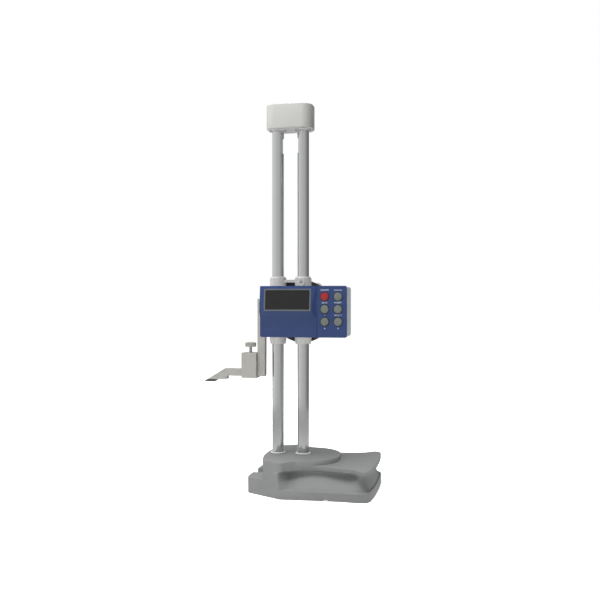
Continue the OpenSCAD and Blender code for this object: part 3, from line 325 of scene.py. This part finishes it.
def smooth_faces(mesh, angle):
    for face in mesh.polygons:
        face.use_smooth = True
    mesh.set_sharp_from_angle(angle=math.radians(angle))


def dress(name, edge_mm):
    """A copy of a node with its doubles merged, its flat faces joined and its edges broken."""
    made = bmesh.new()
    made.from_mesh(nodes[name].data)
    bmesh.ops.remove_doubles(made, verts=made.verts, dist=DOUBLES)
    bmesh.ops.dissolve_limit(made, angle_limit=FLAT_ANGLE, verts=made.verts, edges=made.edges)
    mesh = bpy.data.meshes.new(name + "_finished")
    made.to_mesh(mesh)
    made.free()
    smooth_faces(mesh, SHARP_ANGLE)
    piece = bpy.data.objects.new(name + "_finished", mesh)
    wear(piece, name)
    if edge_mm:
        bevel = piece.modifiers.new("edges", "BEVEL")
        bevel.width = edge_mm * MM
        bevel.segments = EDGE_STEPS
        bevel.limit_method = "ANGLE"
        bevel.angle_limit = math.radians(SHARP_ANGLE)


# %% [markdown]
# Most solids already have the real shape and only need their edges broken. The cast base and the
# moulded case are rounder than the machined steel, so their bevels are wider. The turned keys and
# knobs are left out here. They come next, made anew.

# %% Dress the solids
USUAL_EDGE = 0.15
edge_widths = {
    "base_casting": 0.5, "top_cap": 0.3, "front_cover": 0.45, "case_back": 0.5,
    "slider_casting": 0.25, "measuring_arm": 0.25, "clamp_box": 0.3, "scriber": 0.25,
    "handwheel": 0.3, "battery_cover": 0.3, "left_column": 0, "right_column": 0,
    "feed_pinion": 0, "encoder_pinion": 0, "encoder_disc": 0,
}
keys = [name for name in nodes if name.endswith("_button")]
made_anew = keys + ["crank_knob", "thumb_screw", "lock_knob"]
for name in nodes:
    if name not in made_anew:
        dress(name, edge_widths.get(name, USUAL_EDGE))
print("dressed:", len(nodes) - len(made_anew), "left for later:", len(made_anew))

# %% [markdown]
# Keys, knobs and screws are turned parts. One profile of radius and height, turned about an axis,
# gives each of them, with as many steps as a close look needs.


# %% Turned pieces
TURNED_STEPS, TURNED_ANGLE = 64, 40
AXES = {
    "front": Matrix.Rotation(math.pi / 2, 4, "X"),
    "back": Matrix.Rotation(-math.pi / 2, 4, "X"),
    "right": Matrix.Rotation(math.pi / 2, 4, "Y"),
    "up": Matrix.Identity(4),
}


def turned(name, profile, foot, way):
    """Turns (radius, height) points in mm about the axis that leaves foot the given way."""
    made = bmesh.new()
    rings = []
    for radius, height in profile:
        turns = TURNED_STEPS if radius else 1
        angles = [2 * math.pi * i / turns for i in range(turns)]
        r, z = radius * MM, height * MM
        rings.append([made.verts.new((r * math.cos(a), r * math.sin(a), z)) for a in angles])
    for low, high in zip(rings, rings[1:]):
        for i in range(TURNED_STEPS):
            j = i + 1
            around = [(low, i), (low, j), (high, j), (high, i)]
            made.faces.new(dict.fromkeys(ring[k % len(ring)] for ring, k in around))
    bmesh.ops.recalc_face_normals(made, faces=made.faces)
    mesh = bpy.data.meshes.new(name)
    made.to_mesh(mesh)
    made.free()
    mesh.transform(Matrix.Translation(foot) @ AXES[way])
    smooth_faces(mesh, TURNED_ANGLE)
    return bpy.data.objects.new(name, mesh)


def box_middle(box):
    low, high = box
    return (Vector(low) + Vector(high)) / 2


def box_end(box, axis, far=False):
    """The middle of a box's near or far end along an axis."""
    end = box_middle(box)
    end[axis] = box[far][axis]
    return end


def box_length(box, axis):
    """A box's length along an axis in mm."""
    low, high = box
    return (high[axis] - low[axis]) / MM


def middle_of(name):
    return box_middle(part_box(name))


# %% [markdown]
# Each key stands 1.6 mm out of the cover. It is a flat-topped button with a soft shoulder, and a
# flange inside the case keeps it from falling out.

# %% Keys
KEY_PROUD, KEY_R, FLANGE_R, COVER_T, FLANGE_GAP = 1.6, 4.75, 5.65, 2.2, 0.3
SHOULDER_IN, SHOULDER_UP, SHOULDER_DROP = 0.8, 0.75, 0.95
SHOULDER_ANGLES = (0, 0.4, 0.8, 1.2, 1.5)
crown = ((2.6, 0.08), (1.2, 0.02), (0, 0))

for name in keys:
    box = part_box(name)
    tall = box_length(box, Y)
    step = tall - KEY_PROUD - COVER_T - FLANGE_GAP
    profile = [(0, 0), (FLANGE_R, 0), (FLANGE_R, step), (KEY_R, step)]
    for a in SHOULDER_ANGLES:
        radius = KEY_R - SHOULDER_IN * (1 - math.cos(a))
        profile.append((radius, tall - SHOULDER_DROP + SHOULDER_UP * math.sin(a)))
    profile += [(radius, tall - dip) for radius, dip in crown]
    wear(turned(name + "_finished", profile, box_end(box, Y, far=True), "front"), name)
panel_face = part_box("power_button")[0][Y] + KEY_PROUD * MM
print("keys:", len(keys), "panel face at", round(panel_face / MM, 2), "mm")

# %% [markdown]
# The crank's handle spins on its pin while the wheel turns. It is thickest towards its far end,
# so that it sits well in the fingers.

# %% Crank handle
PIN_BORE_R, SWELL, SWELL_STEPS = 2.1, 2.2, 16
SWELL_FROM, SWELL_OVER = 5, 115

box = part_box("crank_knob")
long = box_length(box, Y)
wide = box_length(box, X) / 2
profile = [(PIN_BORE_R, 0), (wide - 2.6, 0)]
for i in range(SWELL_STEPS + 1):
    u = i / SWELL_STEPS
    bulge = SWELL * math.sin(math.radians(SWELL_OVER * u + SWELL_FROM))
    profile.append((wide - SWELL + bulge, 0.6 + (long - 1.8) * u))
profile += [(wide - 0.7, long - 0.5), (wide - 1.5, long), (PIN_BORE_R, long), (PIN_BORE_R, 0)]
wear(turned("crank_knob_finished", profile, box_end(box, Y), "back"), "crank_knob")
print("crank handle:", round(long, 1), "mm long,", round(2 * wide, 1), "mm across")

# %% [markdown]
# The clamp's thumb screw and the slider's lock knob are gripped by hand, so their rims have
# ribs, and so has the rim of the handwheel. The ribs repeat round a circle. That is work for
# Geometry Nodes: one rib, put on each point of a circle, then made real and given a finish.


# %% Ribs round a rim
GROWN_ANGLE, RIB_SIDES = 50, 8


class Growth(Graph):
    """A Geometry Nodes tree that puts one piece on many points. Its sizes are named inputs."""

    def __init__(self, name, kinds):
        super().__init__(bpy.data.node_groups.new(name, "GeometryNodeTree"))
        sockets = self.tree.interface
        for label, kind in kinds.items():
            sockets.new_socket(label, in_out="INPUT", socket_type="NodeSocket" + kind)
        sockets.new_socket("Geometry", in_out="OUTPUT", socket_type="NodeSocketGeometry")
        given = self.tree.nodes.new("NodeGroupInput")
        self.given = {label: Value(self, given.outputs[label]) for label in kinds}

    def spread(self, piece, points):
        """Puts the piece on the points, makes the copies real and gives them the finish."""
        copies = self.node("GeometryNodeInstanceOnPoints", {"Points": points, "Instance": piece})
        real = self.node("GeometryNodeRealizeInstances", {"Geometry": copies})
        worn = {"Geometry": real, "Material": self.given["Finish"]}
        out = self.tree.nodes.new("NodeGroupOutput")
        self.put(out.inputs["Geometry"], self.node("GeometryNodeSetMaterial", worn))
        return self.tree


def ribs_tree():
    """One rounded rib on each point of a circle."""
    g = Growth(
        "ribs round a rim",
        {"Count": "Int", "Rim Radius": "Float", "Rib Radius": "Float", "Rib Length": "Float",
         "Finish": "Material"},
    )
    sizes = {"Vertices": g.given["Count"], "Radius": g.given["Rim Radius"]}
    circle = g.node("GeometryNodeMeshCircle", sizes)
    sizes = {"Vertices": RIB_SIDES, "Radius": g.given["Rib Radius"], "Depth": g.given["Rib Length"]}
    return g.spread(g.node("GeometryNodeMeshCylinder", sizes), circle)


def plain_mesh(thing):
    """An object's final shape, with its modifiers or its text worked out, as a plain mesh."""
    final = thing.evaluated_get(bpy.context.evaluated_depsgraph_get())
    return bpy.data.meshes.new_from_object(final)


def grown(name, tree, sizes, place, body):
    """Runs a tree with its inputs set, keeps the result as a plain mesh and puts it on a body."""
    seed = bpy.data.objects.new(name + "_seed", bpy.data.meshes.new(name + "_seed"))
    scene.collection.objects.link(seed)
    modifier = seed.modifiers.new("grow", "NODES")
    modifier.node_group = tree
    for item in tree.interface.items_tree:
        if item.in_out == "INPUT":
            modifier[item.identifier] = sizes[item.name]
    mesh = plain_mesh(seed)
    seed.modifiers.clear()
    bpy.data.objects.remove(seed)
    mesh.name = name
    mesh.transform(place)
    smooth_faces(mesh, GROWN_ANGLE)
    piece = bpy.data.objects.new(name, mesh)
    scene.collection.objects.link(piece)
    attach(piece, body)
    return mesh


rib_maker = ribs_tree()


def grip(name, node, centre, way, count, rim, rib, length):
    """Ribs round a node's rim. The sizes are in mm."""
    slot = slot_of_node[node]
    sizes = {
        "Count": count, "Rim Radius": rim * MM, "Rib Radius": rib * MM, "Rib Length": length * MM,
        "Finish": finishes[slot],
    }
    place = Matrix.Translation(centre) @ AXES[way]
    mesh = grown(name, rib_maker, sizes, place, body_of_node[node])
    print(name, "has", count, "ribs,", len(mesh.polygons), "faces")


# %% Thumb screw
RIM, HEAD_T, DOME, STEM_R = 6.5, 5.2, 0.9, 1.8

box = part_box("thumb_screw")
tall = box_length(box, Z)
head = tall - HEAD_T - DOME
top = head + HEAD_T
profile = [
    (0, 0), (STEM_R - 0.4, 0), (STEM_R, 0.4), (STEM_R, head), (RIM - 0.3, head),
    (RIM, head + 0.3), (RIM, top - 0.3), (RIM - 0.35, top), (RIM - 1.1, top + 0.06),
    (RIM * 0.66, top + 0.3), (RIM * 0.6, top + 0.66), (RIM * 0.4, top + 0.84), (0, tall),
]
foot = box_end(box, Z)
wear(turned("thumb_screw_finished", profile, foot, "up"), "thumb_screw")
centre = foot + Vector((0, 0, (head + HEAD_T / 2) * MM))
grip("thumb_screw_knurl", "thumb_screw", centre, "up", 44, rim=RIM, rib=0.32, length=HEAD_T - 0.9)

# %% Lock knob
KNOB_R, KNOB_T, SHANK_R = 8.0, 11.0, 2.5

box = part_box("lock_knob")
long = box_length(box, X)
neck = long - KNOB_T
profile = [
    (0, 0), (SHANK_R, 0), (SHANK_R, neck), (KNOB_R - 2, neck), (KNOB_R - 1, neck + 0.5),
    (KNOB_R - 0.5, neck + 1.6), (KNOB_R - 0.5, long - 1.4), (KNOB_R - 0.9, long - 0.5),
    (KNOB_R - 1.6, long), (KNOB_R - 2.6, long - 0.3), (KNOB_R - 3.2, long - 0.7),
    (0, long - 0.7),
]
foot = box_end(box, X)
wear(turned("lock_knob_finished", profile, foot, "right"), "lock_knob")
centre = foot + Vector(((neck + KNOB_T / 2) * MM, 0, 0))
grip(
    "lock_knob_ribs", "lock_knob", centre, "right", 24,
    rim=KNOB_R - 0.6, rib=0.6, length=KNOB_T - 3.2,
)

# %% Handwheel grip
wheel_r = box_length(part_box("handwheel"), X) / 2
grip(
    "handwheel_ribs", "handwheel", middle_of("handwheel"), "back", 90,
    rim=wheel_r - 0.5, rib=0.6, length=7.4,
)

# %% [markdown]
# Each column enters the cap through a recess. A thin dark ring under its ceiling is painted shade,
# so that the recess reads as a dark arc over the light collar.

# %% Painted shade in the cap's recesses
SHADE_RING_IN, SHADE_RING_OUT, SHADE_RING_T, SHADE_RING_GAP = 7.3, 9.6, 0.5, 0.05

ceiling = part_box("cap_collars")[1][Z]
ring = [(SHADE_RING_IN, 0), (SHADE_RING_OUT, 0), (SHADE_RING_OUT, SHADE_RING_T), (SHADE_RING_IN, SHADE_RING_T), (SHADE_RING_IN, 0)]
# Each ring takes the dark rubber finish as painted shade in its recess.
for side in ("left", "right"):
    foot = middle_of(side + "_column")
    foot.z = ceiling - (SHADE_RING_T + SHADE_RING_GAP) * MM
    shade_ring = turned(side + "_cap_felt", ring, foot, "up")
    scene.collection.objects.link(shade_ring)
    shade_ring.data.materials.append(finishes["rubber"])
    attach(shade_ring, "stand")
print("felt:", round(ceiling / MM, 1), "mm up")

# %% [markdown]
# A thin dark ring of painted shade runs round each key, in the gap where it leaves the cover. It
# is one ring on a grid of two by three points, and again Geometry Nodes repeat it.


# %% Painted shade round the keys
GAP_SHADE_R, GAP_SHADE_WIRE = KEY_R + 0.42, 0.36
KEY_COLUMNS, KEY_ROWS, RING_STEPS, WIRE_STEPS = 2, 3, 56, 10


def gap_shade_tree():
    """One ring of wire on each point of a grid."""
    g = Growth(
        "rings on a grid",
        {"Across": "Float", "Up": "Float", "Ring Radius": "Float", "Wire Radius": "Float",
         "Finish": "Material"},
    )
    sizes = {
        "Size X": g.given["Across"], "Size Y": g.given["Up"],
        "Vertices X": KEY_COLUMNS, "Vertices Y": KEY_ROWS,
    }
    grid = g.node("GeometryNodeMeshGrid", sizes)
    circles = [
        g.node("GeometryNodeCurvePrimitiveCircle", {"Resolution": steps, "Radius": g.given[radius]})
        for steps, radius in ((RING_STEPS, "Ring Radius"), (WIRE_STEPS, "Wire Radius"))
    ]
    curves = dict(zip(("Curve", "Profile Curve"), circles))
    return g.spread(g.node("GeometryNodeCurveToMesh", curves), grid)


power, down = middle_of("power_button"), middle_of("down_button")
centre = (power + down) / 2
centre.y = panel_face
# The rings take the dark rubber finish as painted shade for the gaps round the keys.
sizes = {
    "Across": down.x - power.x, "Up": power.z - down.z,
    "Ring Radius": GAP_SHADE_R * MM, "Wire Radius": GAP_SHADE_WIRE * MM, "Finish": finishes["rubber"],
}
place = Matrix.Translation(centre) @ AXES["front"]
grown("key_gap_shades", gap_shade_tree(), sizes, place, "slider")
print("gap_shades:", len(keys))

# %% [markdown]
# Small pale words above the keys say what they do, and two triangles mark up and down. They are
# printed on the real cover. Here they are a film of 0.04 mm, cut from a text curve.

# %% Words above the keys
PRINT_T, WORD_SIZE, WORD_SPACING, WORD_BOLDER, PRINT_RISE = 0.04, 2.5, 1.1, 0.03, 7.6
MARK_R, MARK_FOOT = 0.95, 0.75
print_mesh = bmesh.new()


def printed(mesh, key, rise_mm):
    """Adds a flat mesh to the print, above or below the middle of a key."""
    middle = middle_of(key)
    spot = (middle.x, panel_face, middle.z + rise_mm * MM)
    mesh.transform(Matrix.Translation(spot) @ AXES["front"])
    print_mesh.from_mesh(mesh)


words = {
    "power_button": "ON/OFF", "unit_button": "mm/inch", "zero_button": "ZERO",
    "preset_button": "PRESET", "up_button": "+", "down_button": "SELECT",
}
for name, word in words.items():
    curve = bpy.data.curves.new(name + "_word", "FONT")
    curve.body = word
    curve.size = WORD_SIZE * MM
    curve.space_character = WORD_SPACING
    curve.extrude = PRINT_T * MM
    curve.offset = WORD_BOLDER * MM
    curve.align_x, curve.align_y = "CENTER", "CENTER"
    holder = bpy.data.objects.new(name + "_word", curve)
    scene.collection.objects.link(holder)
    flat = plain_mesh(holder)
    bpy.data.objects.remove(holder)
    printed(flat, name, PRINT_RISE)

for name, point in (("up_button", 1), ("down_button", -1)):
    made = bmesh.new()
    corners = [(-MARK_R, -MARK_FOOT * point), (MARK_R, -MARK_FOOT * point), (0, MARK_R * point)]
    face = made.faces.new([made.verts.new((x * MM, z * MM, 0)) for x, z in corners])
    lifted = bmesh.ops.extrude_face_region(made, geom=[face])["geom"]
    raised = [part for part in lifted if isinstance(part, bmesh.types.BMVert)]
    bmesh.ops.translate(made, verts=raised, vec=(0, 0, PRINT_T * MM))
    bmesh.ops.recalc_face_normals(made, faces=made.faces)
    flat = bpy.data.meshes.new(name + "_mark")
    made.to_mesh(flat)
    made.free()
    printed(flat, name, -PRINT_RISE)

mesh = bpy.data.meshes.new("key_words")
print_mesh.to_mesh(mesh)
print_mesh.free()
mesh.materials.append(moulded("print", (196, 206, 224), 0.5))
piece = bpy.data.objects.new("key_words", mesh)
scene.collection.objects.link(piece)
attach(piece, "slider")
print("words:", len(words), "with", len(mesh.polygons), "faces")

# %% [markdown]
# The gauge stands on a plain white floor, in front of nothing. The camera sees both as white.
# What light they throw on the gauge is set apart from that, so that the background stays white
# while the paint keeps its tones. Polished steel sees a floor of its own too, which is pale near
# the base and greyer further off, as at the feet of the real columns.

# %% Floor and world
WORLD_FILL, BACKDROP, FLOOR_REACH, FLOOR_SINK = 0.2, 1.0, 12.0, 0.0002
CAMERA, MIRRORS = ("Is Camera Ray",), ("Is Glossy Ray", "Is Transmission Ray")
PALE = (0.95, 0.95, 0.95)
# Each slope runs between two (metres, brightness) ends, across the floor or away from the foot.
MATTE_ACROSS = (-0.05, 1.0), (0.35, 0.25)
GLOW_AWAY = (0.1, 0.5), (0.5, 0.84)
MIRRORED_AWAY = (0.15, 0.85), (0.5, 0.5)

world = bpy.data.worlds.new("studio")
scene.world = world
world.use_nodes = True
studio = Graph(world.node_tree)
studio.tree.nodes.remove(studio.tree.nodes["Background"])
fill, backdrop = (
    studio.node("ShaderNodeBackground", {"Color": WHITE, "Strength": strength})
    for strength in (WORLD_FILL, BACKDROP)
)
surface = studio.tree.nodes["World Output"].inputs["Surface"]
studio.put(surface, studio.seen_by(CAMERA + MIRRORS, backdrop, fill))

f = Finish("floor white")
spot = f.node("ShaderNodeTexCoord", output="Object")
across = f.node("ShaderNodeSeparateXYZ", {0: spot}, "X")
away = f.node("ShaderNodeVectorMath", {0: spot}, "Value", operation="LENGTH")
matte = f.node("ShaderNodeBsdfDiffuse", {"Color": f.slope(across, *MATTE_ACROSS)})
pale = f.node("ShaderNodeBsdfDiffuse", {"Color": PALE})
glow = f.node("ShaderNodeEmission", {"Strength": f.slope(away, *GLOW_AWAY)})
white = f.node("ShaderNodeAddShader", {0: pale, 1: glow})
mirrored = f.node("ShaderNodeEmission", {"Strength": f.slope(away, *MIRRORED_AWAY)})
f.show(f.seen_by(CAMERA, white, f.seen_by(MIRRORS, mirrored, matte)))

floor_mesh = bpy.data.meshes.new("floor")
corners = [(x * FLOOR_REACH, y * FLOOR_REACH, 0) for x, y in ((-1, -1), (1, -1), (1, 1), (-1, 1))]
floor_mesh.from_pydata(corners, [], [(0, 1, 2, 3)])
floor_mesh.materials.append(f.material)
floor = bpy.data.objects.new("floor", floor_mesh)
floor.location.z = -FLOOR_SINK
scene.collection.objects.link(floor)
print("floor:", FLOOR_REACH, "m each way")

# %% [markdown]
# Four soft boxes light the paint: a tall and a low one in front, one overhead and a narrow one at
# the right. Polished steel is seen only by what it mirrors, and a lamp would burn a white bar into
# it. So the lamps are kept out of mirrors, and a wall that only mirrors can see goes round the
# gauge instead. It is pale at the left, grey in front and dark at the right, as the columns of
# the real one show.


# %% Soft boxes
def soft_box(name, azimuth, distance, height, width, tall, power, aim=0.23, spread=180):
    """An area lamp at an azimuth from the camera's side, aimed at a height on the gauge's axis."""
    data = bpy.data.lights.new(name, "AREA")
    data.shape = "RECTANGLE"
    data.size, data.size_y = width, tall
    data.energy = power
    data.spread = math.radians(spread)
    angle = math.radians(azimuth) - math.pi / 2 + TURN
    lamp = bpy.data.objects.new(name, data)
    lamp.location = (math.cos(angle) * distance, math.sin(angle) * distance, height)
    lamp.rotation_euler = (Vector((0, 0, aim)) - lamp.location).to_track_quat("-Z", "Y").to_euler()
    lamp.visible_glossy = False
    lamp.visible_camera = False
    scene.collection.objects.link(lamp)


soft_box("tall_soft_box", azimuth=-34, distance=1.5, height=0.23, width=1.0, tall=1.0, power=2.9)
soft_box("low_soft_box", azimuth=-12, distance=0.42, height=0.02, width=0.8, tall=0.3, power=0.6)
soft_box("top_soft_box", azimuth=-50, distance=0.3, height=1.53, width=1.1, tall=1.1, power=40)
soft_box(
    "right_soft_box", azimuth=80, distance=0.7, height=0.06, width=0.5, tall=0.12, power=0.26,
    aim=0.1, spread=60,
)

# %% The wall that mirrors see
WALL_RADIUS, WALL_TALL, WALL_FOOT, WALL_STEPS = 0.75, 1.6, -0.4, 96
# Azimuths from the camera's side in degrees, and the brightness that is mirrored from there.
# The last two share one place, which leaves a fine bright line straight behind the gauge.
wall_tones = (
    (-180, 0.50), (-106, 0.92), (-74, 0.84), (-47, 0.72), (-35, 0.73), (-10, 0.64), (23, 0.60),
    (45, 0.48), (60, 0.38), (112, 0.16), (180, 0.50), (180, 1.00),
)

f = Finish("mirror wall")
spot = f.place(turn=(0, 0, math.pi / 2 - TURN))
round_the_gauge = f.node("ShaderNodeTexGradient", {"Vector": spot}, "Fac", gradient_type="RADIAL")
ramp = f.tree.nodes.new("ShaderNodeValToRGB")
for _ in wall_tones[2:]:
    ramp.color_ramp.elements.new(0.5)
for stop, (azimuth, grey) in zip(ramp.color_ramp.elements, wall_tones):
    stop.position, stop.color = 0.5 + azimuth / 360, (grey, grey, grey, 1)
f.put(ramp.inputs["Fac"], round_the_gauge)
f.show(f.node("ShaderNodeEmission", {"Color": Value(f, ramp.outputs["Color"])}))

made = bmesh.new()
bmesh.ops.create_cone(
    made, segments=WALL_STEPS, radius1=WALL_RADIUS, radius2=WALL_RADIUS, depth=WALL_TALL
)
wall_mesh = bpy.data.meshes.new("mirror_wall")
made.to_mesh(wall_mesh)
made.free()
wall_mesh.materials.append(f.material)
wall = bpy.data.objects.new("mirror_wall", wall_mesh)
wall.location.z = WALL_TALL / 2 + WALL_FOOT
for ray in ("camera", "diffuse", "transmission", "shadow", "volume_scatter"):
    setattr(wall, "visible_" + ray, False)
scene.collection.objects.link(wall)
print("wall:", len(wall_mesh.polygons), "faces")
